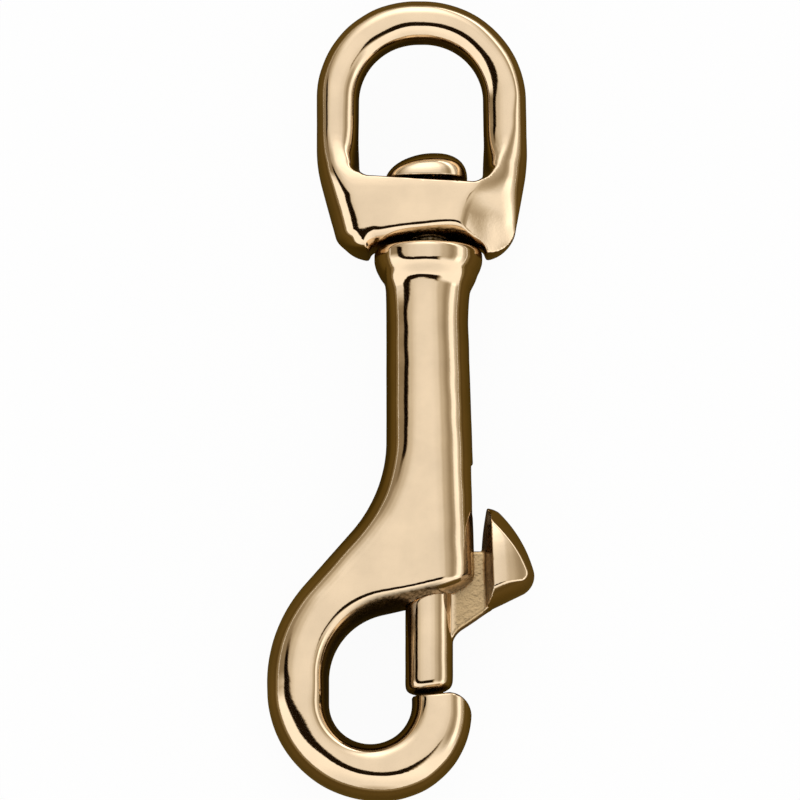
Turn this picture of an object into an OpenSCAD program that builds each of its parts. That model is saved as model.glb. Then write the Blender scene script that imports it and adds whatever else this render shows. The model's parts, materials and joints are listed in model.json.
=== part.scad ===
// Swivel bolt snap: a cast hook with a sprung sliding bolt and a swivel eye.
// It lies on its back: X runs across towards the thumb lever, Y along towards the eye, Z up.
// Every piece is drawn about the bolt's axis, with Y = 0 at the barrel's mouth, and lying() sets it down.

/* [Barrel] */
// Width of the barrel
barrel_w = 12.2; // [10.6:0.1:15]
// Depth of the barrel, front to back
barrel_d = 11.8; // [10.6:0.1:15]
// Length of the barrel from its mouth to the collar
barrel_len = 44.2; // [40:0.2:60]
// How much the lever side widens towards the mouth
mouth_flare = 0.9; // [0.3:0.1:1.5]
// Radius of the corner below the lever side of the mouth
mouth_corner_r = 1.3; // [0.8:0.1:2]

/* [Hook] */
// Clear height from the mouth to the inside of the bow
throat = 22.3; // [20:0.1:30]
// Clear width inside the bow
bow_in_w = 12.1; // [10:0.1:16]
// Width of the bow at its back
bow_side_w = 9.3; // [7:0.1:12]
// Width of the bow at its bottom
bow_bottom_w = 8.2; // [6:0.1:11]
// Depth of the hook's root, front to back
root_d = 11.4; // [10:0.1:13]
// Depth of the bow, front to back
bow_d = 10; // [8:0.1:12]
// Distance from the bolt's axis to the inside of the tip
tip_in = 2.4; // [1.5:0.1:3.5]
// Width of the tip that the bolt closes on
tip_w = 8.9; // [7.5:0.1:11]
// Depth of the tip, front to back
tip_d = 8.8; // [6.5:0.1:10]
// Height of the gate, from the mouth to the top of the tip
gate_h = 14.4; // [13:0.1:16]
// Slope of the hook's root below the mouth
root_slope = 12; // [6:1:16]
// Height above the mouth where the barrel turns out towards the hook's back
flare_y = 14.8; // [10:0.1:20]
// Slope of the hook's back away from the barrel
back_slope = 41; // [36:1:45]
// Radius of the hollow where the barrel flares into the hook
flare_r = 21; // [12:1:25]
// Radius of the swell between the flare and the bow
back_r = 24; // [14:1:25]

/* [Collar and post] */
// Diameter of the collar
collar_dia = 15.6; // [14:0.1:19]
// Height of the collar's cone
collar_h = 4.2; // [3:0.1:7]
// Height of the rounding on the collar's rim
rim_h = 1.6; // [1:0.1:2.4]
// Height of the dome above the rim
dome_h = 2; // [1.2:0.1:3]
// Diameter of the swivel post
post_dia = 6.4; // [5:0.1:7.4]
// Diameter of the riveted head
head_dia = 11.4; // [9:0.1:13]
// Height of the riveted head
head_h = 3.3; // [2:0.1:5]

/* [Swivel eye] */
// Inner width of the eye
eye_in_w = 18.2; // [16:0.1:25]
// Inner height of the eye above its bar
eye_in_h = 19.9; // [16:0.1:30]
// Width of the eye's loop, seen from the front
loop_w = 6.2; // [5:0.1:8]
// Depth of the eye's loop
loop_d = 6.6; // [5:0.1:9]
// Length of the post that the bar covers
bar_h = 8.6; // [7:0.1:12]
// Depth of the bar, front to back
bar_d = 12; // [10:0.1:14]
// Width of each foot beside the collar
foot_w = 4.5; // [3:0.1:6]
// Slope of the bar's top, as cast
bar_slope = 3.4; // [0:0.1:5]
// How far the loop sits off the post's axis, as cast
loop_shift = -0.8; // [-1.2:0.1:1.2]

/* [Bolt and lever] */
// Diameter of the bolt
bolt_dia = 6.9; // [5.5:0.1:7.4]
// Length of the bolt inside the barrel when shut
bolt_inside = 11; // [8:0.5:14]
// Travel of the bolt
travel = 12.5; // [9:0.5:13]
// Thickness of the web between the bolt and its lever
web_t = 2.8; // [2:0.1:3.6]
// Height of the web above the mouth when shut
web_top = 5.9; // [4:0.1:8]
// How far the web's root reaches down the bolt
web_root = 8.2; // [6:0.1:10]
// Gap between the barrel and the lever
lever_gap = 0.7; // [0.5:0.1:1.5]
// Reach of the lever out from its gap
lever_w = 7.9; // [6:0.1:11]
// Height of the lever's point above the mouth
lever_top = 12.5; // [10:0.1:16]
// Drop of the lever's heel below the mouth
lever_drop = 3.1; // [2:0.1:4]
// Depth of the lever, front to back
lever_d = 9.8; // [6:0.1:12]
// Bevel around the lever's front and back faces
lever_bevel = 1.4; // [0.8:0.1:1.8]

/* [Spring] */
// Diameter of the spring's wire
spring_wire = 0.8; // [0.6:0.05:0.9]
// Number of turns
spring_turns = 11; // [8:1:12]
// Length of the spring when the bolt is shut
spring_len = 24.5; // [23:0.5:28]

/* [Clearances] */
// Gap all round between the bolt and its bore, and the web and its slot
slide_gap = 0.15; // [0.1:0.05:0.3]
// Gap all round between the post and the eye
swivel_gap = 0.2; // [0.1:0.05:0.4]
// Gap where the eye faces the collar and the head, and the bolt faces the tip
seat_gap = 0.3; // [0.2:0.05:0.5]
// Gap all round between the spring and its bore
spring_gap = 0.3; // [0.2:0.05:0.6]

/* [Hidden] */
$fn = 64;
bronze = [0.79, 0.65, 0.44];
steel = [0.72, 0.73, 0.75];

// Steps around each rounded corner and along each straight of a rail
corner_steps = 8;
side_steps = 4;
// Points from one corner of a rail to the next
rail_pitch = corner_steps + side_steps;
// Points around each section of a casting
section_points = 32;
// Steps along each curve of a turned profile
curve_steps = 8;
// Length kept straight where two rounded corners meet
straight_min = 0.3;
// How far a shape runs into its neighbour, or a cut past its surface
bite = 1.5;

// Heights along the post
rim_y = barrel_len + collar_h;
shoulder_y = rim_y + rim_h;
dome_y = shoulder_y + dome_h;
bar_top_y = dome_y + seat_gap + bar_h;
head_y = bar_top_y + seat_gap;

// The collar, post and head
collar_r = collar_dia / 2;
neck_r = barrel_d / 2 - 0.05;
rim_in = 0.9;
dome_edge_r = collar_r - rim_in;
dome_r = (pow(dome_edge_r, 2) + pow(dome_h, 2)) / (2 * dome_h);
post_r = post_dia / 2;
head_r = head_dia / 2;
head_rim_h = 0.5;

// The hook's outline
half_w = barrel_w / 2;
mouth_x = half_w + mouth_flare;
bow_left = -(tip_in + bow_in_w);
bow_in_r = (bow_in_w - straight_min) / 2;
hook_left = bow_left - bow_side_w;
hook_bottom = -(throat + bow_bottom_w);
hook_bottom_r = bow_in_r + bow_side_w;
back_y = flare_y - (-half_w - hook_left) / tan(back_slope);
root_y = -(mouth_x - bow_left) * tan(root_slope);
root_r = 11;
tip_left = -tip_in;
tip_right = tip_left + tip_w;
tip_mid = tip_left + tip_w / 2;
tip_half_flat = 0.6;
tip_out_round_r = 2.6;
tip_in_round_r = 1.1;
// Each rounding below is limited by the room between its neighbours
back_round_r = min(back_r, (back_y - hook_bottom - hook_bottom_r - straight_min) / tan(back_slope / 2));
tip_bottom_r = min(
    tip_right - hook_left - hook_bottom_r - straight_min,
    -gate_h - tip_out_round_r - hook_bottom - straight_min
);
tip_bow_r = min(bow_in_r, throat - gate_h - tip_in_round_r - straight_min);

// Along the hook, from the barrel to the tip: depth, squareness and lean of its section.
// A squareness of 2 is an ellipse, and the crown leans to the inside by a share of the half width.
hook_depths = [barrel_d, barrel_d, root_d, bow_d, (bow_d + tip_d) / 2, tip_d, 0.75 * tip_d];
hook_powers = [2.1, 2.3, 2.8, 2.5, 2.3, 2.3, 2.3];
hook_leans = [0, 0, 0, 0.14, 0.28, 0.12, 0];

// The eye's outline
eye_in_x = eye_in_w / 2;
eye_out_x = eye_in_x + loop_w;
eye_in_top = bar_top_y + eye_in_h;
eye_out_top = eye_in_top + loop_w;
foot_y = rim_y + 2 * seat_gap;
foot_x = collar_r + foot_w;
foot_corner_r = 3;
eye_side_y = bar_top_y + 1.5;
eye_side_r = 22;
eye_side_bulge = 0.15;
bar_corner_r = 1.8;
bar_rise = eye_in_x * tan(bar_slope);

// Around the eye, from the top right by way of the left foot: depth and squareness of its section
eye_depths = [loop_d, loop_d, 1.1 * loop_d, bar_d, bar_d, 1.1 * loop_d];
eye_powers = [2.2, 2.2, 2.3, 4, 4, 2.3];

// The bore, the slot and the spring
bolt_r = bolt_dia / 2;
bore_r = bolt_r + slide_gap;
spring_seat = 0.1;
bore_end = bolt_inside + spring_len + 2 * spring_seat;
slot_end = web_top + travel + seat_gap;
spring_r = bore_r - spring_gap - spring_wire / 2;
spring_dead_turns = 1.2;
spring_dead_pitch = 1.05 * spring_wire;
spring_steps = 16;
spring_sides = 8;

// The bolt and its lever
bolt_low_y = -(gate_h - seat_gap);
bolt_round_r = 0.7;
lever_x = mouth_x + lever_gap;
lever_right = lever_x + lever_w;
heel_rise = 0.3;

// Where the part's box lies about the bolt's axis
middle_x = (hook_left + lever_right) / 2;
middle_y = (hook_bottom + eye_out_top) / 2;
rest_z = max(collar_dia, bar_d, root_d, bow_d, barrel_d, lever_d) / 2;

// Sets a piece down on its back, with the middle of the part at the origin
module lying() translate([-middle_x, -middle_y, rest_z]) children();

// Turns what is drawn about Z so that it lies along Y
module along_y() rotate([-90, 0, 0]) children();

function unit(v) = v / norm(v);
function turned(v, a) = [v.x * cos(a) - v.y * sin(a), v.x * sin(a) + v.y * cos(a)];

// Points of the arc that rounds the corner at p, between the points before and after it
function corner(before, p, after, r) =
    let (u = unit(before - p), v = unit(after - p))
    let (half = acos(max(-1, min(1, u * v))) / 2)
    half > 89.9
        ? [for (i = [0:corner_steps]) p + v * (i / corner_steps - 0.5)]
        : let (centre = p + unit(u + v) * r / sin(half))
          let (start = p + u * r / tan(half) - centre, stop = p + v * r / tan(half) - centre)
          let (turn = sign(cross(start, stop)) * (180 - 2 * half))
          [for (i = [0:corner_steps]) centre + turned(start, turn * i / corner_steps)];

// Points between a and b, without the ends
function between(a, b) = [for (i = [1:side_steps - 1]) a + (b - a) * i / side_steps];

// An open line through the points p, with every inner corner rounded to its radius in r
function rail(p, r) =
    let (last = len(p) - 1)
    let (turns = [for (i = [1:last - 1]) corner(p[i - 1], p[i], p[i + 1], r[i - 1])])
    [
        p[0],
        each between(p[0], turns[0][0]),
        for (i = [0:last - 2])
            let (next = i < last - 2 ? turns[i + 1][0] : p[last])
            each concat(turns[i], between(turns[i][corner_steps], next)),
        p[last]
    ];

// A closed line through the points p, with every corner rounded to its radius in r
function ring(p, r) =
    let (n = len(p))
    let (turns = [for (i = [0:n - 1]) corner(p[(i + n - 1) % n], p[i], p[(i + 1) % n], r[i])])
    [for (i = [0:n - 1]) each concat(turns[i], between(turns[i][corner_steps], turns[(i + 1) % n][0]))];

// Value at the place u along the list v, eased from each entry to the next
function eased(u, v) =
    let (i = min(floor(u), len(v) - 2))
    v[i] + (v[i + 1] - v[i]) * (1 - cos(180 * (u - i))) / 2;

// Value at station s of a rail whose ends and corners have the values in v
function along_rail(s, v) =
    let (u = 1 + (s - side_steps - corner_steps / 2) / rail_pitch)
    eased(max(0, min(len(v) - 1, u)), v);

// Value at station s of a ring whose corners have the values in v
function around_ring(s, v) =
    let (n = len(v))
    eased(1 + (s - corner_steps / 2) / rail_pitch, [v[n - 1], each v, v[0]]);

function bent(x, power) = sign(x) * pow(abs(x), 2 / power);

// A rounded section from the outer point a to the inner point b, whose crown leans towards b
function section(a, b, depth, power, lean = 0) =
    [for (k = [0:section_points - 1])
        let (q = 360 * k / section_points, t = -bent(cos(q), power))
        let (p = (a + b) / 2 + (b - a) / 2 * (t + lean * (1 - t * t)))
        [p.x, p.y, depth / 2 * bent(sin(q), power)]];

// A skin over sections of m points each, either closed on itself or capped at both ends
module skin(sections, m, closed = false) {
    n = len(sections);
    rows = closed ? n : n - 1;
    sides = [for (i = [0:rows - 1], k = [0:m - 1])
        let (a = i * m + k, b = i * m + (k + 1) % m)
        let (c = ((i + 1) % n) * m + k, d = ((i + 1) % n) * m + (k + 1) % m)
        each [[a, b, c], [b, d, c]]];
    caps = closed ? [] : [[for (k = [m - 1:-1:0]) k], [for (k = [0:m - 1]) (n - 1) * m + k]];
    polyhedron([for (s = sections) each s], concat(sides, caps));
}

// Points of a quarter ellipse from the side of its centre to its top
function quarter(centre, a, b) =
    [for (i = [0:curve_steps]) centre + [a * cos(90 * i / curve_steps), b * sin(90 * i / curve_steps)]];

// The collar's rim and dome up to the radius r, stood off by a gap
function collar_top(gap, r) =
    let (sphere_r = dome_r + gap, low = asin(dome_edge_r / dome_r), high = asin(r / sphere_r))
    concat(
        [for (i = [0:curve_steps - 1])
            let (a = (90 - low) * i / curve_steps)
            [dome_edge_r, rim_y] + [(rim_in + gap) * cos(a), (rim_h + gap) * sin(a)]],
        [for (i = [0:curve_steps])
            let (a = low + (high - low) * i / curve_steps)
            [sphere_r * sin(a), dome_y - dome_r + sphere_r * cos(a)]]
    );

// Half section of the collar's cone and dome, the post and the riveted head
function swivel_profile() = concat(
    [[0, barrel_len - bite], [neck_r, barrel_len - bite]],
    [for (i = [0:curve_steps - 1])
        let (t = i / curve_steps)
        [neck_r + (collar_r - neck_r) * (1 - cos(180 * t)) / 2, barrel_len + collar_h * t]],
    collar_top(0, post_r),
    [[post_r, head_y]],
    [[head_r - head_rim_h, head_y]],
    quarter([0, head_y + head_rim_h], head_r, head_h - head_rim_h)
);

// The hook's two rails, from the barrel down round the bow to the tip
function hook_outer() = rail(
    [
        [-half_w, barrel_len + bite],
        [-half_w, flare_y],
        [hook_left, back_y],
        [hook_left, hook_bottom],
        [tip_right, hook_bottom],
        [tip_right, -gate_h],
        [tip_mid + tip_half_flat, -gate_h]
    ],
    [flare_r, back_round_r, hook_bottom_r, tip_bottom_r, tip_out_round_r]
);
function hook_inner() = rail(
    [
        [half_w, barrel_len + bite],
        [mouth_x, 0],
        [bow_left, root_y],
        [bow_left, -throat],
        [tip_left, -throat],
        [tip_left, -gate_h],
        [tip_mid - tip_half_flat, -gate_h]
    ],
    [mouth_corner_r, root_r, bow_in_r, tip_bow_r, tip_in_round_r]
);

module hook_casting() {
    outer = hook_outer();
    inner = hook_inner();
    skin([for (s = [0:len(outer) - 1]) section(
        outer[s], inner[s], along_rail(s, hook_depths), along_rail(s, hook_powers), along_rail(s, hook_leans)
    )], section_points);
}

// Barrel, hook, collar, post and head, bored for the bolt and slotted for its web
module hook_body() color(bronze) lying() difference() {
    union() {
        hook_casting();
        along_y() rotate_extrude() polygon(swivel_profile());
    }
    along_y() translate([0, 0, root_y - bite]) cylinder(r = bore_r, h = bore_end - root_y + bite);
    translate([0, root_y - bite, -web_t / 2 - slide_gap])
        cube([mouth_x + bite, slot_end - root_y + bite, web_t + 2 * slide_gap]);
}

// The eye's two rails, from the top right by way of the left foot
function eye_outer() = ring(
    [
        [loop_shift + eye_out_x, eye_out_top],
        [loop_shift - eye_out_x, eye_out_top],
        [loop_shift - eye_out_x, eye_side_y],
        [-foot_x, foot_y],
        [foot_x, foot_y],
        [loop_shift + eye_out_x, eye_side_y]
    ],
    [
        eye_out_x - straight_min,
        eye_out_x - straight_min,
        eye_side_r,
        foot_corner_r,
        foot_corner_r,
        eye_side_r
    ]
);
function eye_inner() = ring(
    [
        [loop_shift + eye_in_x, eye_in_top],
        [loop_shift - eye_in_x, eye_in_top],
        [loop_shift - eye_in_x - eye_side_bulge, eye_side_y + loop_w / 2],
        [loop_shift - eye_in_x, bar_top_y + bar_rise],
        [loop_shift + eye_in_x, bar_top_y - bar_rise],
        [loop_shift + eye_in_x + eye_side_bulge, eye_side_y + loop_w / 2]
    ],
    [eye_in_x - straight_min, eye_in_x - straight_min, eye_side_r, bar_corner_r, bar_corner_r, eye_side_r]
);

module eye_casting() {
    outer = eye_outer();
    inner = eye_inner();
    skin([for (s = [0:len(outer) - 1]) section(
        outer[s], inner[s], around_ring(s, eye_depths), around_ring(s, eye_powers)
    )], section_points, closed = true);
}

// Hollow under the bar that clears the collar
function socket_profile() = concat(
    [[0, foot_y - bite], [collar_r + seat_gap, foot_y - bite]],
    collar_top(seat_gap, 0)
);

// Loop and bar, drilled for the post, hollowed below and faced above for the head
module swivel_eye() color(bronze) lying() difference() {
    eye_casting();
    along_y() rotate_extrude() polygon(socket_profile());
    along_y() translate([0, 0, rim_y]) cylinder(r = post_r + swivel_gap, h = head_y - rim_y);
    along_y() translate([0, 0, bar_top_y]) cylinder(r = head_r + seat_gap, h = head_h);
}

// Half section of the bolt's rod
function rod_profile() = concat(
    [[0, bolt_low_y]],
    [for (i = [0:curve_steps])
        let (a = 90 * i / curve_steps)
        [bolt_r - bolt_round_r * (1 - sin(a)), bolt_low_y + bolt_round_r * (1 - cos(a))]],
    [[bolt_r, bolt_inside], [0, bolt_inside]]
);

// Outline of the web, hollowed below between the rod and the lever's heel
function web_outline() = concat(
    [[0, web_top], [lever_x + bite, web_top]],
    rail(
        [
            [lever_x + bite, heel_rise - lever_drop],
            [bolt_r + bite, -(web_root + lever_drop) / 2],
            [bolt_r - bite, -web_root - bite]
        ],
        [bolt_r]
    ),
    [[0, -web_root - bite]]
);

// Outline of the lever's fin: a point at the top, a long outer slope and a heel
function fin_outline() = ring(
    [
        [lever_x + 0.08 * lever_w, lever_top],
        [lever_x + 0.05 * lever_w, -lever_drop],
        [lever_right, -heel_rise],
        [lever_right, 0.3 * lever_top],
        [lever_x + 0.3 * lever_w, lever_top]
    ],
    [0.08 * lever_w, 0.08 * lever_w, 0.18 * lever_w, 0.4 * lever_w, 0.2 * lever_w]
);

module lever() hull() {
    translate([0, 0, lever_bevel - lever_d / 2]) linear_extrude(lever_d - 2 * lever_bevel) polygon(fin_outline());
    translate([0, 0, -lever_d / 2]) linear_extrude(lever_d) offset(delta = -lever_bevel) polygon(fin_outline());
}

// Rod, web and thumb lever
module bolt() color(bronze) lying() {
    along_y() rotate_extrude() polygon(rod_profile());
    translate([0, 0, -web_t / 2]) linear_extrude(web_t) polygon(web_outline());
    lever();
}

// Distance along the spring after a number of turns, with the end turns wound close
function spring_rise(turns) =
    let (dead = spring_dead_turns, close = spring_dead_turns * spring_dead_pitch, clear = spring_len - spring_wire)
    lookup(turns, [
        [0, 0],
        [dead, close],
        [spring_turns - dead, clear - close],
        [spring_turns, clear]
    ]);

// Compression spring between the bolt and the end of its bore
module bolt_spring() color(steel) lying() along_y()
    translate([0, 0, bolt_inside + spring_seat + spring_wire / 2])
        skin([for (i = [0:spring_turns * spring_steps])
            let (turns = i / spring_steps, a = 360 * turns)
            [for (k = [0:spring_sides - 1])
                let (b = 360 * k / spring_sides, r = spring_r + spring_wire / 2 * cos(b))
                [r * cos(a), r * sin(a), spring_rise(turns) + spring_wire / 2 * sin(b)]]], spring_sides);

hook_body();
swivel_eye();
bolt();
bolt_spring();
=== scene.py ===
"""Swivel bolt snap in polished cast bronze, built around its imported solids.

Sizes in the code are in millimetres about the bolt's axis, with Y = 0 at the barrel's mouth.
"""
import json
import math
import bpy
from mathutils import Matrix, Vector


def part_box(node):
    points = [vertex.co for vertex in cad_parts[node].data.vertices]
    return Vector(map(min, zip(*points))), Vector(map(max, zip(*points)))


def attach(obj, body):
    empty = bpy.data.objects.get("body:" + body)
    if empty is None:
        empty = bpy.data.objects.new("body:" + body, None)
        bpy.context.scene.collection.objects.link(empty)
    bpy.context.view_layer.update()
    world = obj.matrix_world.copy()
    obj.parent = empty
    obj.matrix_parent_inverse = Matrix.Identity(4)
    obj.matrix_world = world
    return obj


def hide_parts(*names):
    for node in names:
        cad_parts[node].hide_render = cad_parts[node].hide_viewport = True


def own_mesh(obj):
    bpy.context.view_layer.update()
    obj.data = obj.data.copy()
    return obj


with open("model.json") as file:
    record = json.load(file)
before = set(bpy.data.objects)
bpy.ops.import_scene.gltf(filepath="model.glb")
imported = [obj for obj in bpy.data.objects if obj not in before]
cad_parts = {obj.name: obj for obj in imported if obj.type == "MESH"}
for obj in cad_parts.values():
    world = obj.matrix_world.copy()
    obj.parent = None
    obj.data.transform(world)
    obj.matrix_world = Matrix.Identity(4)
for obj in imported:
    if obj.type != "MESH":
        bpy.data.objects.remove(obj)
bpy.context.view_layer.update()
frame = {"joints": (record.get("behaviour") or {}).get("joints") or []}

from types import SimpleNamespace

import bpy
import numpy as np
import openvdb
from bpy.props import FloatProperty, IntProperty, PointerProperty, StringProperty

bl_info = {
    "name": "Swivel bolt snap",
    "version": (1, 0, 0),
    "blender": (4, 5, 0),
    "location": "3D View > Sidebar > Bolt snap",
    "description": "Builds a polished bronze bolt snap with a swivel eye and a sprung bolt",
    "category": "Add Mesh",
}

MM = 0.001
# A distance past everything, in millimetres
FAR = 1000.0

# The swivel's axis and the hook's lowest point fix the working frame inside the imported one
SWIVEL = next(j for j in frame["joints"] if j["name"] == "eye_swivel")
HOOK_DROP = 30.5
AXIS_X, _, AXIS_Z = (v / MM for v in SWIVEL["pos_m"])
MOUTH_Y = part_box("hook_body")[0].y / MM + HOOK_DROP
ORIGIN = np.array([AXIS_X, MOUTH_Y, AXIS_Z])


def length(name, size, description):
    """A length property whose default is given in millimetres."""
    return FloatProperty(name=name, description=description, default=size * MM, unit="LENGTH", precision=5)


def share(name, value, description):
    """A plain number between 0 and 1."""
    return FloatProperty(name=name, description=description, default=value, min=0, max=1, subtype="FACTOR")


def tint(name, code, description):
    """A colour property that holds an sRGB hex code."""
    return StringProperty(name=name, description=description, default=code)


class HookSizes(bpy.types.PropertyGroup):
    """Sizes of the hook casting, from the barrel to the tip, and of the collar and head on it."""

    half_w: length("Barrel half width", 6.1, "Half the barrel's width")
    mouth_x: length("Mouth half width", 7.1, "Reach of the lever side at the mouth")
    side_x: length("Barrel lever side", 5.68, "Reach of the lever side at the collar")
    flare_y: length("Flare height", 14.6, "Height where the barrel turns out towards the hook's back")
    flare_r: length("Flare radius", 20.4, "Radius of the hollow where the barrel flares")
    back_y: length("Back height", -5.5, "Height where the hook's back turns into the bow")
    back_r: length("Back radius", 21.5, "Radius of the swell between the flare and the bow")
    left: length("Bow outside", -23.5, "Outermost line of the bow")
    bow_r: length("Bow radius", 16.2, "Outer radius at the bow's lower left")
    tip_bow_r: length("Tip side radius", 13.0, "Outer radius below the tip")
    tip_right: length("Tip outside", 6.25, "Outer side of the tip")
    tip_left: length("Tip inside", -2.4, "Inner side of the tip")
    tip_top: length("Tip top", -15.2, "Height of the tip's top at the bolt's axis")
    tip_corner_r: length("Tip corner radius", 3.4, "Radius of the tip's outer top corner")
    throat_y: length("Bow inside bottom", -22.3, "Inner bottom of the bow")
    throat_left: length("Bow inside left", -14.3, "Inner left of the bow")
    throat_r: length("Bow inside radius", 5.9, "Inner radii of the bow's bottom")
    root_y: length("Root height", -4.95, "Height where the root's underside meets the bow")
    root_r: length("Root radius", 10.0, "Inner radius where the root turns into the bow")
    bore_r: length("Bore radius", 3.6, "Radius of the bolt's bore")
    bore_end: length("Bore end", 35.7, "Height of the bore's closed end")
    slot_half: length("Slot half width", 1.55, "Half the width of the slot for the bolt's web")
    slot_end: length("Slot end", 18.7, "Height of the slot's closed end")
    head_r: length("Head radius", 5.95, "Radius of the riveted head")
    head_y: length("Head height", 60.35, "Height of the head's underside")
    head_h: length("Head thickness", 4.1, "Thickness of the riveted head")


class EyeSizes(bpy.types.PropertyGroup):
    """Sizes of the swivel eye casting."""

    out_left: length("Outside left", -16.15, "Outer left of the loop")
    out_right: length("Outside right", 14.3, "Outer right of the loop")
    out_top: length("Outside top", 87.0, "Outer top of the loop")
    in_left: length("Inside left", -9.9, "Inner left of the loop")
    in_right: length("Inside right", 7.8, "Inner right of the loop")
    in_top: length("Inside top", 80.7, "Inner top of the loop")
    bar_top: length("Bar top", 60.3, "Height of the bar's top at the axis")
    bar_fall: length("Bar fall", 0.55, "How far the bar's top falls to the right and rises to the left")
    foot_y: length("Feet bottom", 49.0, "Height of the feet beside the collar")
    arch_y: length("Arch", 51.5, "Height of the arch over the collar")
    loop_half_d: length("Loop half depth", 3.4, "Half the loop's depth")
    bar_half_d: length("Bar half depth", 6.0, "Half the bar's depth")
    bore_r: length("Bore radius", 3.4, "Radius of the hole for the post")
    face_r: length("Spot face radius", 6.4, "Radius of the face under the riveted head")


class BoltSizes(bpy.types.PropertyGroup):
    """Sizes of the bolt casting with its thumb lever."""

    rod_r: length("Rod radius", 3.43, "Radius of the rod")
    rod_low: length("Rod bottom", -14.95, "Height of the rod's lower end")
    rod_high: length("Rod top", 11.0, "Height of the rod's upper end inside the barrel")
    web_half: length("Web half thickness", 1.38, "Half the web's thickness")
    web_top: length("Web top", 5.85, "Height of the web's top")
    fin_half_d: length("Fin half depth", 4.9, "Half the fin's depth, front to back")
    fin_front_x: length("Fin front edge", 9.45, "Where the fin's face begins beside the barrel")


class SpringSizes(bpy.types.PropertyGroup):
    """Sizes of the wire spring in the bore."""

    coil_r: length("Coil radius", 2.9, "Radius of the coil at the middle of the wire")
    wire_r: length("Wire radius", 0.4, "Radius of the wire")
    low: length("Lower end", 11.1, "Height of the spring's lower end")
    high: length("Upper end", 35.6, "Height of the spring's upper end")
    turns: IntProperty(name="Turns", description="Number of turns", default=11)


class Finish(bpy.types.PropertyGroup):
    """Colours and polish of the metals."""

    bronze: tint("Bronze", "#EDD4B2", "Colour of the polished bronze")
    bronze_cast: tint("As-cast bronze", "#CFB286", "Colour of the bronze where it is left as cast")
    # The tarnished colour also serves as painted shade on steep sides, hollows and parts hidden in shade
    bronze_dark: tint("Tarnished bronze", "#3D2E12", "Colour of the bronze where the buff can't reach")
    steel: tint("Steel", "#B9BBBE", "Colour of the spring wire")
    polish: share("Polish", 0.07, "Roughness of the polished bronze")


class Studio(bpy.types.PropertyGroup):
    """Camera and surroundings."""

    picture_w: length("Picture width", 115.5, "Width of the picture at the part's middle")
    lean: FloatProperty(name="Lean", description="Camera's lean from straight above towards the hook's end",
                        default=math.radians(11), unit="ROTATION")
    lens: FloatProperty(name="Lens", description="Focal length", default=1000, unit="CAMERA")
    floor: tint("Floor", "#FFFFFF", "Colour of the floor")
    card_reach: length("Card reach", 40.0, "Half the length of the card's middle line")


def in_mm(group):
    """A property group's lengths in millimetres, with its other values as they are."""
    found = {}
    for key, prop in group.bl_rna.properties.items():
        if prop.identifier in ("rna_type", "name"):
            continue
        value = getattr(group, key)
        found[key] = value / MM if getattr(prop, "unit", "NONE") == "LENGTH" else value
    return SimpleNamespace(**found)


def srgb(code):
    """Linear colour of an sRGB hex code."""
    parts = [int(code[i:i + 2], 16) / 255 for i in (1, 3, 5)]
    return [c / 12.92 if c <= 0.04045 else ((c + 0.055) / 1.055) ** 2.4 for c in parts] + [1.0]


# Shapes: every casting is the inside of a smooth field that is negative within the metal


def smooth_min(a, b, reach):
    """The lesser of two fields, with the crease between them rounded over a reach."""
    h = np.maximum(reach - np.abs(a - b), 0) / reach
    return np.minimum(a, b) - h * h * reach / 4


def smooth_max(a, b, reach):
    """The greater of two fields, with the crease between them rounded over a reach."""
    return -smooth_min(-a, -b, reach)


def ramp(v, start, stop):
    """Eases from 0 at start to 1 at stop."""
    t = np.clip((v - start) / (stop - start), 0, 1)
    return t * t * (3 - 2 * t)


def eased(v, stations):
    """Value at v of a list of (place, value), eased from each entry to the next."""
    value = np.full(np.shape(v), float(stations[0][1]))
    for (a, before), (b, after) in zip(stations, stations[1:]):
        value = value + (after - before) * ramp(v, a, b)
    return value


def fillet(a, b, r):
    """The lesser of two distances, with the corner between them rounded to a radius."""
    inside = r - np.hypot(np.maximum(r - a, 0), np.maximum(r - b, 0))
    return np.where((a < r) & (b < r), inside, np.minimum(a, b))


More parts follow.
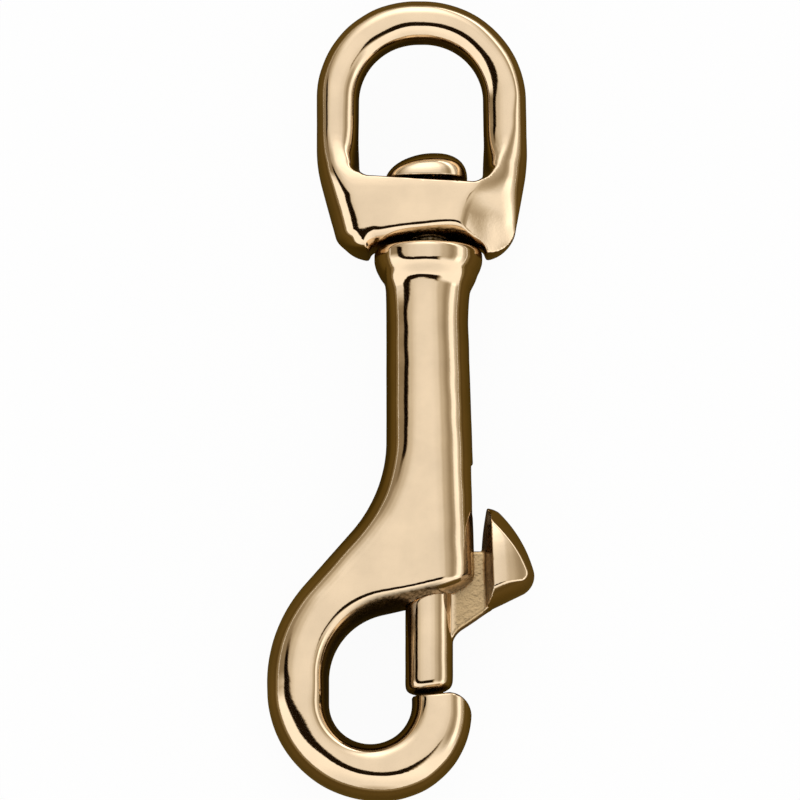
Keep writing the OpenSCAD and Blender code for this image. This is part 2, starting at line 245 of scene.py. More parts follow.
class Rail:
    """A line of straights and arcs through corner points, with metal on its left.

    Station i is the middle of corner i, and stations run evenly along the line from each to the next.
    An open rail's first and last points are stations too.
    """

    def __init__(self, points, radii, closed=False):
        points = [np.array(p, float) for p in points]
        n = len(points)
        corners = range(n) if closed else range(1, n - 1)
        radius = dict(zip(corners, radii))
        turns = {i: self.turn(points[i - 1], points[i], points[(i + 1) % n], radius[i]) for i in corners}
        start = {i: turns[i][0] if i in turns else points[i] for i in range(n)}
        stop = {i: turns[i][1] if i in turns else points[i] for i in range(n)}
        self.straights, self.arcs = [], []
        run, marks, stations = 0.0, [], []
        for i in range(n):
            stations.append(i)
            if i in turns:
                r, sweep = turns[i][3], turns[i][5]
                self.arcs.append((*turns[i][2:], run))
                marks.append(run + r * sweep / 2)
                run += r * sweep
            else:
                marks.append(run)
            if closed or i < n - 1:
                j = (i + 1) % n
                self.straights.append((stop[i], start[j], run))
                run += np.linalg.norm(start[j] - stop[i])
        if closed:
            marks = [marks[-1] - run, *marks, marks[0] + run]
            stations = [-1, *stations, n]
        self.marks, self.stations, self.count = marks, stations, n

    def turn(self, before, p, after, r):
        """Where the arc of one corner begins and ends, its centre, radius, first angle, sweep and side."""
        u, v = (before - p) / np.linalg.norm(before - p), (after - p) / np.linalg.norm(after - p)
        half = math.acos(max(-1.0, min(1.0, float(u @ v)))) / 2
        reach = r / math.tan(half)
        centre = p + (u + v) / np.linalg.norm(u + v) * r / math.sin(half)
        side = 1.0 if u[1] * v[0] - u[0] * v[1] > 0 else -1.0
        first = p + u * reach
        angle = math.atan2(first[1] - centre[1], first[0] - centre[0])
        return first, p + v * reach, centre, r, angle, math.pi - 2 * half, side

    def foot(self, x, y):
        """Signed distance to the rail and the station of the nearest place on it."""
        x, y = np.broadcast_arrays(x, y)
        best, along = np.full(x.shape, FAR), np.zeros(x.shape)
        for a, b, run in self.straights:
            span = np.linalg.norm(b - a)
            ux, uy = (b - a) / span
            t = (x - a[0]) * ux + (y - a[1]) * uy
            d = ux * (y - a[1]) - uy * (x - a[0])
            nearer = (t >= 0) & (t <= span) & (np.abs(d) < np.abs(best))
            best = np.where(nearer, d, best)
            along = np.where(nearer, run + t, along)
        for centre, r, angle, sweep, side, run in self.arcs:
            turned = np.mod(side * (np.arctan2(y - centre[1], x - centre[0]) - angle), 2 * math.pi)
            d = side * (r - np.hypot(x - centre[0], y - centre[1]))
            nearer = (turned <= sweep) & (np.abs(d) < np.abs(best))
            best = np.where(nearer, d, best)
            along = np.where(nearer, run + r * turned, along)
        station = np.interp(along, self.marks, self.stations)
        return best, np.where(station < 0, station + self.count, station)


# A slant's low wall as a share of the depth, with its steepness and softness
WALL_SHARE, WALL_RISE, WALL_SOFT = 0.12, 6, 0.06
# Softness of a slant's ridge and of any crown's top
RIDGE_SOFT, CROWN_SOFT = 0.2, 0.01


def crown(d, r, roundness):
    """Height share, to the edge's power, of a surface that rises from its edge over a reach r.

    A roundness of 1 is an ellipse, and 0 a low wall and a slant that ends in a soft ridge.
    """
    u = d / r
    oval = np.where(u < 1, u * (2 - u), 1)
    slant = (WALL_SHARE + (1 - WALL_SHARE) * np.maximum(u, 0)) ** 2
    slant = smooth_min(WALL_RISE * u, slant, WALL_SOFT)
    rise = roundness * oval + (1 - roundness) * slant
    return smooth_min(rise, np.ones_like(u), RIDGE_SOFT * (1 - roundness) + CROWN_SOFT)


def edge(z, depth, d, reach, roundness, power=2.0):
    """Field of metal that rises from one edge to its half depth, squarer with a higher power."""
    return depth / power * ((np.abs(z) / depth) ** power - crown(d, reach, roundness))


WAVES = (
    ((0.9, 0.5, 0.3), 0.4), ((-0.4, 0.8, 0.6), 1.9), ((0.3, -0.7, 0.9), 3.1),
    ((1.3, 0.2, -0.5), 4.4), ((-0.8, -1.1, 0.4), 5.2), ((0.5, 1.4, 0.2), 0.9),
)


def unevenness(x, y, z, height=0.005):
    """Faint hollows and swells that hand polishing leaves in a casting."""
    total = 0
    for (a, b, c), phase in WAVES:
        total = total + np.sin(a * x + b * y + c * z + phase)
    return height * total


# Roundings along the hook's outer rail by station: barrel, flare, back, bow, tip
HOOK_OUTER_REACH = ((0, 6.1), (0.75, 6.1), (1, 5.7), (2, 5.5), (2.5, 5.6), (3.5, 4.2), (4, 4.4), (5, 4.4))
# Roundings along its inner rail by station: tip, bow bottom, bow left, root, mouth
HOOK_INNER_REACH = ((0, 3.2), (1, 3.7), (1.5, 3.8), (2, 3.6), (2.5, 3.1), (3, 3.0), (3.3, 2.5), (4, 2.4))
# Half depths of the hook. It thins by the angle about the bow's middle, in degrees from straight up by way of
# the left, and the seam where that starts again lies in the gate.
ROOT_DEPTH, TIP_DEPTH = 6.15, 4.4
BOW_MIDDLE = (-8.5, -15.5)
BOW_SEAM = -55
THIN_FROM, THIN_TO = -30, 280
# How far the bow's outer side leans in by its bottom
BOW_LEAN = 0.7
# The tip's top: its slope, where that ends to the right, the reach of its edge and how deep inside it is felt
TIP_SLOPE, TIP_SLOPE_END = 0.1, 3
TIP_EDGE_REACH, TIP_FELT = 0.9, 9
TIP_BOX_LEFT, TIP_BOX_RIGHT, TIP_BOX_LOW = -9, 14, -25
# Top of the barrel inside the collar, and the height where the lever side has its reach at the collar
BARREL_TOP, SIDE_TOP = 48.6, 44
# Height in the gate that parts the tip's surfaces from the root's
GATE_LOW = -8.0
# How far the rails run past the casting, above it and to its right
RAIL_TOP, RAIL_RIGHT = 70, 30
# Softness of the creases where the tip's top, the lever side and the inside meet the rest, and of the cuts
TIP_CREASE, SIDE_CREASE, INNER_CREASE = 0.3, 0.15, 0.3
BORE_CREASE, SLOT_CREASE = 0.25, 0.3


def hook_rails(s):
    """The hook's outer line, from the barrel round the bow to the tip, and the line inside it."""
    outer = Rail(
        [(-s.half_w, RAIL_TOP), (-s.half_w, s.flare_y), (s.left, s.back_y), (s.left + BOW_LEAN, -HOOK_DROP),
         (s.tip_right, -HOOK_DROP), (s.tip_right, GATE_LOW)],
        [s.flare_r, s.back_r, s.bow_r, s.tip_bow_r],
    )
    fall = -s.root_y / (s.mouth_x - s.throat_left)
    inner = Rail(
        [(s.tip_left, GATE_LOW), (s.tip_left, s.throat_y), (s.throat_left, s.throat_y),
         (s.throat_left, s.root_y), (RAIL_RIGHT, fall * (RAIL_RIGHT - s.mouth_x))],
        [s.throat_r, s.throat_r, s.root_r],
    )
    return outer, inner


def hook_casting(s, x, y, z):
    """Field of the barrel, root, bow and tip before they are bored."""
    outer, inner = hook_rails(s)
    angle = np.degrees(np.arctan2(-(x - BOW_MIDDLE[0]), y - BOW_MIDDLE[1]))
    angle = np.where(angle < BOW_SEAM, angle + 360, angle)
    depth = ROOT_DEPTH + (TIP_DEPTH - ROOT_DEPTH) * ramp(angle, THIN_FROM, THIN_TO)
    d_out, place = outer.foot(x, y)
    out = edge(z, depth, d_out, eased(place, HOOK_OUTER_REACH), 1.0)
    over_tip = (x > TIP_BOX_LEFT) & (x < TIP_BOX_RIGHT) & (y > TIP_BOX_LOW) & (y < GATE_LOW + 1)
    d_top = np.where(over_tip, s.tip_top + TIP_SLOPE * np.minimum(x, TIP_SLOPE_END) - y, FAR)
    d_top = np.minimum(fillet(d_out, d_top, s.tip_corner_r), TIP_FELT)
    top = edge(z, depth, d_top, TIP_EDGE_REACH, 1.0)
    d_side = np.where(y > GATE_LOW, s.mouth_x + (s.side_x - s.mouth_x) * y / SIDE_TOP - x, FAR)
    side = edge(z, depth, np.minimum(d_side, s.half_w), s.half_w, 1.0)
    d_in, place = inner.foot(x, y)
    d_mouth = fillet(d_in / eased(place, HOOK_INNER_REACH), d_side / s.half_w, 1.0)
    within = edge(z, depth, d_mouth, 1.0, 1.0)
    whole = smooth_max(smooth_max(out, top, TIP_CREASE), side, SIDE_CREASE)
    return smooth_max(whole, within, INNER_CREASE)


# Half section of the collar and post as (radius, height) corners with their roundings
COLLAR = (
    ((3.2, 38), 0), ((5.5, 45.8), 2.0), ((7.8, 48.1), 1.6), ((7.8, 50.25), 0.9), ((5.4, 50.6), 8),
    ((3.2, 50.85), 0.5), ((3.2, 75), 0),
)
# Where the collar begins inside the barrel, its blend with it, and how far the post runs into the head
COLLAR_LOW, COLLAR_BLEND, POST_IN_HEAD = 40, 2.0, 1
# How far the lower edge of the collar's swell hangs at its middle, how much less aside, and how far its foot
# hangs aside, with its middle, how wide each spreads, and the heights between which each comes and goes
SWELL_EDGE, SWELL_ASIDE, SWELL_FOOT = 0.7, 0.9, 1.5
SWELL_MIDDLE = -0.9
EDGE_SPREAD, FOOT_SPREAD = 4.6, 3.6
EDGE_ABOVE, EDGE_BELOW, FOOT_ABOVE = (48.9, 47.7), (45.4, 46.9), (49.4, 44.6)
# The riveted head: its dome's lean, by a power of its rise, and its shift and squareness from above
HEAD_LEAN, HEAD_LEAN_POWER, HEAD_RISE_MOST = 1.3, 1.5, 1.2
HEAD_SHIFT = -0.35
HEAD_SQUARE = 2.5
# Softness of its rim and of where it meets the post
HEAD_RIM, HEAD_BLEND = 0.2, 0.3


def hook_body_field(s, x, y, z):
    """Field of the whole hook casting with its bore, slot, collar, post and head."""
    radius = np.hypot(x, z)
    casting = np.maximum(hook_casting(s, x, y, z), y - BARREL_TOP)
    profile = Rail([p for p, _ in COLLAR], [r for _, r in COLLAR[1:-1]])
    aside = x - SWELL_MIDDLE
    hang = SWELL_EDGE - SWELL_ASIDE * (1 - np.exp(-(aside / EDGE_SPREAD) ** 2))
    foot = SWELL_FOOT * (1 - np.exp(-(aside / FOOT_SPREAD) ** 2))
    hung = y + hang * ramp(y, *EDGE_ABOVE) * ramp(y, *EDGE_BELOW) + foot * ramp(y, *FOOT_ABOVE)
    ends = np.maximum(COLLAR_LOW - y, y - s.head_y - POST_IN_HEAD)
    collar = np.maximum(-profile.foot(radius, hung)[0], ends)
    body = smooth_min(casting, collar, COLLAR_BLEND)
    rise = np.maximum(y - s.head_y, 0) / s.head_h
    over = np.abs(x - HEAD_SHIFT - HEAD_LEAN * np.minimum(rise, HEAD_RISE_MOST) ** HEAD_LEAN_POWER)
    across = (over ** HEAD_SQUARE + np.abs(z) ** HEAD_SQUARE) ** (1 / HEAD_SQUARE) / s.head_r
    dome = (across ** 2 + rise ** 2 - 1) * s.head_h / 2
    head = smooth_max(dome, s.head_y - y, HEAD_RIM)
    body = smooth_min(body, head, HEAD_BLEND)
    bore = np.maximum(np.maximum(radius - s.bore_r, y - s.bore_end), GATE_LOW - y)
    slot = np.maximum(np.maximum(np.abs(z) - s.slot_half, y - s.slot_end), np.maximum(-x, GATE_LOW - y))
    body = smooth_max(body, -bore, BORE_CREASE)
    return smooth_max(body, -slot, SLOT_CREASE) + unevenness(x, y, z)


# Roundings along the eye's outer rail by station: right foot, right side, top right, top left, left side and
# left foot. It is a slant by the right foot and round elsewhere.
HOOP_REACH = (
    (0, 8.1), (0.6, 8.0), (1, 5.4), (1.3, 2.8), (1.5, 2.2), (2, 3.1), (3, 3.1), (3.5, 2.8), (3.75, 2.6),
    (4, 3.4), (4.3, 4.8), (5, 5.0),
)
HOOP_ROUND = ((0, 0.0), (0.5, 0.0), (1.15, 1.0), (5, 1.0))
# Roundings around its inner rail by station, from the top left by way of the bar's right end
EYE_INNER_REACH = (
    (0, 3.2), (1, 3.4), (1.4, 4.4), (2, 4.6), (2.6, 3.6), (3.1, 0.7), (3.9, 0.7), (4.3, 2.3),
    (5, 3.3), (6, 3.2),
)
# The outer rail: its ends below the feet, where the sides are widest, their radius, and how the top leans
RIGHT_END, LEFT_END = (10.4, 40), (-10.2, 40)
WIDEST_Y, SIDE_R = 62.4, 22
TOP_LEAN, TOP_LEFT_LESS = 0.4, 0.7
# Half the length kept straight between the two top corners of either rail
TOP_STRAIGHT = 0.3
# The inner rail: how far its sides bulge and where, and the radius of the corners at the bar
BULGE, BULGE_Y, BAR_CORNER_R = 0.2, 65.5, 1.6
# The line below: places across, heights above the feet's bottom or the arch, and radii of its corners
LEFT_FOOT = ((-60, 0), (-8.5, 0.2))
ARCH = ((-8.0, -1.05), (-0.2, 0.5), (7.8, -1.15))
RIGHT_FOOT = ((8.3, 0), (60, -0.2))
UNDER_RADII = (0.5, 1.2, 25, 1.2, 0.5)
UNDER_FELT = 40
# Heights between which the loop deepens into the bar
BAR_DEEPENS = (68.0, 57.5)
# The lip along the bottom: its reach, how much more it is at the feet and on the right, and where those begin
LIP_REACH, LIP_FEET, LIP_RIGHT = 2.4, 0.6, 0.4
FEET_FROM, RIGHT_FROM = (6, 10), (-2, 4)
# The lip is square on the left, softer and with a rounder corner on the right, and fades out above
LIP_POWER, LIP_SOFTER = 5, 2.8
LIP_CORNER, LIP_CORNER_RIGHT = 0.02, 4
LIP_FADE, LIP_FADED = (54, 58), 30
# The left foot's side and bottom meet in a rounded corner, and right of the foot only the lip is left
FOOT_CORNER, FOOT_SOFT = 1.05, 0.4
FOOT_FADE, FOOT_FADED, FOOT_TOP = (-8, -1), 3, (57, 54)
# Ends of the hole for the post and of the spot face, and softness of the creases
HOLE_LOW, HOLE_HIGH = 48, 63
FACE_DROP, FACE_HIGH = 0.05, 66
LIP_CREASE, EYE_CREASE, FACE_CREASE = 0.15, 0.25, 0.2


def eye_outer(s):
    """The line round the eye, from the right foot over the top to the left foot."""
    out_r = (s.out_right - s.out_left) / 2 - TOP_STRAIGHT
    return Rail(
        [RIGHT_END, (s.out_right, WIDEST_Y), (s.out_right - TOP_LEAN, s.out_top), (s.out_left, s.out_top),
         (s.out_left, WIDEST_Y), LEFT_END],
        [SIDE_R, out_r, out_r - TOP_LEFT_LESS, SIDE_R],
    )


def eye_inner(s):
    """The line inside the eye."""
    in_r = (s.in_right - s.in_left) / 2 - TOP_STRAIGHT
    return Rail(
        [(s.in_left, s.in_top), (s.in_right, s.in_top), (s.in_right + BULGE, BULGE_Y),
         (s.in_right, s.bar_top - s.bar_fall), (s.in_left, s.bar_top + s.bar_fall),
         (s.in_left - BULGE, BULGE_Y)],
        [in_r, in_r, SIDE_R, BAR_CORNER_R, BAR_CORNER_R, SIDE_R], closed=True,
    )


def eye_under(s):
    """The line below the eye: the left foot, the arch over the collar and the right foot."""
    left, right = ([(x, s.foot_y + up) for x, up in foot] for foot in (LEFT_FOOT, RIGHT_FOOT))
    return Rail([*left, *((x, s.arch_y + up) for x, up in ARCH), *right], UNDER_RADII)


def eye_field(s, x, y, z):
    """Field of the loop and bar, drilled for the post and faced for the riveted head."""
    depth = s.loop_half_d + (s.bar_half_d - s.loop_half_d) * ramp(y, *BAR_DEEPENS)
    d_out, place = eye_outer(s).foot(x, y)
    d_under = np.minimum(eye_under(s).foot(x, y)[0], UNDER_FELT)
    right = ramp(x, *RIGHT_FROM)
    lip_reach = LIP_REACH + LIP_FEET * ramp(np.abs(x - ARCH[1][0]), *FEET_FROM) + LIP_RIGHT * right
    from_side = d_out / eased(place, HOOP_REACH)
    from_below = d_under / lip_reach + FOOT_FADED * ramp(x, *FOOT_FADE)
    lowness = ramp(from_side - from_below, -FOOT_SOFT, FOOT_SOFT) * ramp(y, *FOOT_TOP)
    roundness = np.maximum(eased(place, HOOP_ROUND), lowness)
    d_side = fillet(from_side, from_below, FOOT_CORNER)
    out = edge(z, depth, d_side, 1.0, roundness, 2 + (LIP_POWER - 2) * lowness)
    d_lip = fillet(d_out, d_under, LIP_CORNER + LIP_CORNER_RIGHT * right) + LIP_FADED * ramp(y, *LIP_FADE)
    lip = edge(z, depth, d_lip, lip_reach, 1.0, LIP_POWER - LIP_SOFTER * right)
    d_in, place = eye_inner(s).foot(x, y)
    within = edge(z, depth, d_in, eased(place, EYE_INNER_REACH), 1.0)
    loop = smooth_max(smooth_max(out, lip, LIP_CREASE), within, EYE_CREASE)
    radius = np.hypot(x, z)
    hole = np.maximum(radius - s.bore_r, np.maximum(HOLE_LOW - y, y - HOLE_HIGH))
    face = np.maximum(radius - s.face_r, np.maximum(s.bar_top + FACE_DROP - y, y - FACE_HIGH))
    loop = smooth_max(loop, -hole, EYE_CREASE)
    return smooth_max(loop, -face, FACE_CREASE) + unevenness(x, y, z)


# The rod: its shift across, and the reach and squareness of its rounded end, which slopes as the tip does
ROD_SHIFT = 0.1
END_REACH, END_POWER, END_MOST = 3.8, 8, 1.3
# The web: the line below it from the rod to the fin, the radius of that line's corner, its ends and its edge
WEB_UNDER, WEB_UNDER_R = ((1.5, -40), (3.4, -6.4), (10.5, -1.5)), 3.6
WEB_RIGHT, WEB_LOW, WEB_EDGE = 8.9, -10, 0.6
# The fin's outline: an arc on the right, a sloping heel and a top, with the radii where they meet
FIN_CENTRE, FIN_R = (-3.9, -2.25), 19.8
HEEL_SLOPE, HEEL_Y, HEEL_R = 0.49, -6.93, 2.2
FIN_TOP, FIN_TOP_R = 12.3, 0.8
# It thins above a height, down to a least half depth, and its front edge leans
THIN_Y, THINNING, FIN_LEAST = 2.0, 0.03, 0.8
FRONT_LEAN = 0.035
# Reach and roundness of its rim, the fall of its face to the right, and its flank's slope and steepness
RIM_REACH, RIM_ROUND = 2.0, 0.4
FACE_FALL = 0.06
FLANK_SLOPE, FLANK_STEEP = 0.36, 0.92
RIM_CREASE, FLANK_CREASE, ROD_BLEND, FIN_BLEND = 0.2, 0.15, 0.2, 0.5


def rod_field(s, x, y, z):
    """Field of the bolt's rod."""
    end = np.clip(1 - (y - s.rod_low - TIP_SLOPE * x) / END_REACH, 0, END_MOST)
    rod = (z * z + (x - ROD_SHIFT) ** 2 - s.rod_r ** 2 * (1 - end ** END_POWER)) / (2 * s.rod_r)
    return np.maximum(rod, y - s.rod_high)


def web_field(s, x, y, z):
    """Field of the thin web that joins the rod and the fin through the slot."""
    inside = [Rail(WEB_UNDER, [WEB_UNDER_R]).foot(x, y)[0], s.web_top - y, WEB_RIGHT - x, x, y - WEB_LOW]
    d_web = inside[0]
    for d in inside[1:]:
        d_web = np.minimum(d_web, d)
    return smooth_max(np.abs(z) - s.web_half, -d_web, WEB_EDGE)


def fin_field(s, x, y, z):
    """Field of the thumb lever's fin."""
    deep = np.abs(z)
    d_right = FIN_R - np.hypot(x - FIN_CENTRE[0], y - FIN_CENTRE[1])
    d_heel = (y - HEEL_Y - HEEL_SLOPE * x) / math.hypot(1, HEEL_SLOPE)
    d_fin = fillet(fillet(d_right, d_heel, HEEL_R), FIN_TOP - y, FIN_TOP_R)
    depth = np.maximum(s.fin_half_d - THINNING * np.maximum(y - THIN_Y, 0) ** 2, FIN_LEAST)
    front = s.fin_front_x - FRONT_LEAN * y
    wall = edge(z, depth, d_fin, RIM_REACH, RIM_ROUND)
    face = deep - depth + FACE_FALL * np.maximum(x - front, 0) ** 2
    flank = (front - FLANK_SLOPE * (depth - deep) - x) * FLANK_STEEP
    return smooth_max(smooth_max(wall, face, RIM_CREASE), flank, FLANK_CREASE)


def bolt_field(s, x, y, z):
    """Field of the rod, the web and the thumb lever's fin."""
    shank = smooth_min(rod_field(s, x, y, z), web_field(s, x, y, z), ROD_BLEND)
    return smooth_min(shank, fin_field(s, x, y, z), FIN_BLEND) + unevenness(x, y, z)


def gradient(field, p, step=0.02):
    """Slope of a field at points, by differences."""
    slope = np.empty_like(p)
    for i in range(3):
        shift = np.zeros(3)
        shift[i] = step
        slope[:, i] = (field(*(p + shift).T) - field(*(p - shift).T)) / (2 * step)
    return slope


# Width of a grid's band in voxels, rounds that draw its points onto the surface, and the least slope squared
BAND, ROUNDS, LEAST_SLOPE = 3, 4, 1e-6


def cast(name, field, low, high, voxel):
    """A closed mesh of the surface where a field is zero, with the surface's own normals."""
    low, high = np.array(low, float), np.array(high, float)
    x, y, z = (np.arange(a, b + voxel, voxel) for a, b in zip(low, high))
    values = field(x[:, None, None], y[None, :, None], z[None, None, :])
    band = BAND * voxel
    grid = openvdb.FloatGrid(band)
    grid.copyFromArray(np.clip(values, -band, band).astype(np.float32))
    corners, quads = grid.convertToQuads(0.0)
    p = low + np.asarray(corners, float) * voxel
    for _ in range(ROUNDS):
        slope = gradient(field, p)
        move = field(*p.T) / np.maximum((slope ** 2).sum(1), LEAST_SLOPE)
        p = p - np.clip(move, -voxel, voxel)[:, None] * slope
    slope = gradient(field, p)
    normals = slope / np.linalg.norm(slope, axis=1)[:, None]
    quads = np.asarray(quads, int)
    a, b, c = (p[quads[:, i]] for i in range(3))
    if (np.cross(b - a, c - a) * normals[quads[:, 0]]).sum() < 0:
        quads = quads[:, ::-1]
    mesh = bpy.data.meshes.new(name)
    mesh.from_pydata(((p + ORIGIN) * MM).tolist(), [], quads.tolist())
    mesh.validate()
    mesh.shade_smooth()
    mesh.normals_split_custom_set_from_vertices(normals.tolist())
    piece = bpy.data.objects.new(name, mesh)
    bpy.context.collection.objects.link(piece)
    return piece, p, normals


def buff(piece, **layers):
    """Gives a casting its bronze, with how far each point is left as cast and how far it is tarnished and
    darkened by painted shade, from 0 to 1.
    """
    for name, values in layers.items():
        layer = piece.data.attributes.new(name, "FLOAT", "POINT")
        layer.data.foreach_set("value", np.clip(values, 0, 1).astype(np.float32))
    piece.data.materials.append(material_of("bronze"))


# How far up or down a surface faces where it stays bright, and where it counts as upright and takes the full
# painted shade and tarnish
OPEN_FACING, UPRIGHT = 0.66, 0.2


def steepness(normals):
    """How nearly upright each point's surface stands, from 0, facing up or down, to 1: the mask of painted
    shade and tarnish on steep sides.
    """
    return ramp(np.abs(normals[:, 2]), OPEN_FACING, UPRIGHT)


# Materials


def node(tree, kind, inputs=None, **settings):
    """Adds a node with its settings, values and links."""
    made = tree.nodes.new(kind)
    for key, value in settings.items():
        setattr(made, key, value)
    for key, value in (inputs or {}).items():
        if isinstance(value, bpy.types.NodeSocket):
            tree.links.new(value, made.inputs[key])
        else:
            made.inputs[key].default_value = value
    return made


def new_material(name):
    """An empty node material."""
    material = bpy.data.materials.new(name)
    material.use_nodes = True
    material.node_tree.nodes.clear()
    return material, material.node_tree


def maths(tree, operation, *values, clamp=False):
    """Result of a Math node."""
    made = node(tree, "ShaderNodeMath", dict(enumerate(values)), operation=operation, use_clamp=clamp)
    return made.outputs[0]


def noise(tree, place, size, detail):
    """Noise whose grain measures this many millimetres."""
    made = node(tree, "ShaderNodeTexNoise", {"Vector": place, "Scale": 1 / (size * MM), "Detail": detail})
    return made.outputs["Fac"]


def spread(tree, value, low, high, start=0.0, stop=1.0):
    """A value that runs from start to stop, spread from low to high."""
    made = node(tree, "ShaderNodeMapRange", {"Value": value, 1: start, 2: stop, 3: low, 4: high})
    return made.outputs["Result"]


def mixed(tree, factor, a, b):
    """A mix of two colours."""
    return node(tree, "ShaderNodeMix", {"Factor": factor, "A": a, "B": b}, data_type="RGBA").outputs["Result"]


# Size in millimetres and detail of the bronze's clouds and grain and the wire's grain, and most noise's range
CLOUDS, GRAIN, WIRE_GRAIN = (6.0, 5.0), (0.5, 4.0), (0.2, 3.0)
NOISE_RANGE = (0.3, 0.7)
# How the grain breaks up the tarnish and painted shade, and how the clouds vary the colour and the polish
DIRT_AND_SHADE_PATCHES, CLOUD_SHADES, CLOUD_POLISH = (0.75, 1.1), (0.9, 1.04), (0.8, 1.3)
# Roughness that the cast skin and the tarnish with its painted shade add, and the wire's own
CAST_ROUGH, DIRT_AND_SHADE_ROUGH, WIRE_ROUGH = 0.3, 0.2, (0.2, 0.4)
# Strength of the grain's bump on polished metal, how much more it is on the cast skin, and its height
GRAIN_BUMP, CAST_BUMP, GRAIN_HEIGHT = 0.035, 0.9, 0.12


def polished_bronze(f):
    """Cast bronze, tumbled and buffed: a bright gold mirror, faintly clouded.

    It is dark and dull where it is tarnished and where shade is painted on its steep sides, hollows and
    hidden parts, and grainy where it is left as cast.
    """
    material, tree = new_material("polished_cast_bronze")
    place = node(tree, "ShaderNodeTexCoord").outputs["Object"]
    cast_skin = node(tree, "ShaderNodeAttribute", attribute_name="as_cast").outputs["Fac"]
    tarnish = node(tree, "ShaderNodeAttribute", attribute_name="tarnish").outputs["Fac"]
    cloud = noise(tree, place, *CLOUDS)
    grain = noise(tree, place, *GRAIN)
    # Tarnish and painted shade from the casting's attribute, broken up by the grain, darken and dull the
    # colour
    dirt_and_shade = maths(tree, "MULTIPLY", tarnish, spread(tree, grain, *DIRT_AND_SHADE_PATCHES, *NOISE_RANGE), clamp=True)
    skin = mixed(tree, cast_skin, srgb(f.bronze), srgb(f.bronze_cast))
    skin = mixed(tree, dirt_and_shade, skin, srgb(f.bronze_dark))
    colour = node(tree, "ShaderNodeHueSaturation", {
        "Color": skin, "Value": spread(tree, cloud, *CLOUD_SHADES, *NOISE_RANGE),
    })
    clouded = spread(tree, cloud, *(f.polish * k for k in CLOUD_POLISH))
    worn = maths(tree, "MULTIPLY_ADD", cast_skin, CAST_ROUGH, clouded)
    roughness = maths(tree, "MULTIPLY_ADD", dirt_and_shade, DIRT_AND_SHADE_ROUGH, worn)
    strength = maths(tree, "MULTIPLY_ADD", cast_skin, CAST_BUMP, GRAIN_BUMP)
    bump = node(tree, "ShaderNodeBump", {
        "Height": grain, "Strength": strength, "Distance": GRAIN_HEIGHT * MM,
    })
    shader = node(tree, "ShaderNodeBsdfPrincipled", {
        "Base Color": colour.outputs["Color"], "Metallic": 1.0, "Roughness": roughness,
        "Normal": bump.outputs["Normal"],
    })
    node(tree, "ShaderNodeOutputMaterial", {"Surface": shader.outputs["BSDF"]})
    return material


def drawn_steel(f):
    """Drawn stainless wire: cool grey, with a fine grain that softens its shine."""
    material, tree = new_material("drawn_stainless_wire")
    place = node(tree, "ShaderNodeTexCoord").outputs["Object"]
    shader = node(tree, "ShaderNodeBsdfPrincipled", {
        "Base Color": srgb(f.steel), "Metallic": 1.0,
        "Roughness": spread(tree, noise(tree, place, *WIRE_GRAIN), *WIRE_ROUGH),
    })
    node(tree, "ShaderNodeOutputMaterial", {"Surface": shader.outputs["BSDF"]})
    return material


def material_of(key):
    """The shared material of that key, made once."""
    made = {"bronze": "polished_cast_bronze", "steel": "drawn_stainless_wire"}
    makers = {"bronze": polished_bronze, "steel": drawn_steel}
    found = bpy.data.materials.get(made[key])
    return found or makers[key](in_mm(bpy.context.scene.snap_finish))


def fit(piece, body, cad_node):
    """Lets a piece stand for its solid and move with its body."""
    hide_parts(cad_node)
    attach(piece, body)


# Grid of each casting's mesh: its voxel, its reach front and back, and its margins
HOOK_VOXEL, EYE_VOXEL, BOLT_VOXEL = 0.33, 0.28, 0.22
HOOK_DEEP, EYE_DEEP, BOLT_DEEP = 8.4, 6.8, 5.6
MARGIN, END_MARGIN = 0.8, 1
# Sides of the hook's and the bolt's grids that no size gives
HOOK_RIGHT, HOOK_TOP = 9, 65.6
BOLT_LEFT, BOLT_RIGHT, BOLT_TOP = -4.2, 16.4, 13.4
# Tarnish and painted shade of every rim, the hook's and the eye's insides, the root's underside, the arch,
# the rod's end and the fin's flank, where shade and dark reflections fall. The bore and the post are painted
# dark all over, as they lie in shade.
RIM_DARK, HOOK_DARK, EYE_DARK = 0.35, 0.85, 0.75
ROOT_DARK, ARCH_DARK, END_DARK, FLANK_DARK = 0.95, 0.9, 0.8, 0.7
# Distances from the inner rails, and then places and facings, between which each comes and goes
HOOK_INSIDE, EYE_INSIDE = (2.4, 1.2), (2.0, 1.0)
BORE_WALL, BORE_FROM, BORE_TO = (3.9, 3.65), (-1.5, 0), (44, 40)
POST_FROM, POST_TO = (50.2, 50.6), (60.2, 59.7)
ROOT_FACING, ROOT_ABOVE, ROOT_LEFT = (0.5, 0.8), (-12, -9), (3, 0)
ARCH_FACING, ARCH_BELOW, ARCH_WITHIN = (0.95, 0.998), (55, 53.5), (8.8, 8.0)
WEB_FROM, WEB_TO, WEB_WITHIN = (3.2, 4.2), (8.8, 7.9), (2.2, 1.7)
END_FACING, END_BELOW = (0.5, 0.9), (-12.5, -13.4)
FLANK_FACING, FLANK_FROM = (0.6, 0.85), (6.6, 7.2)


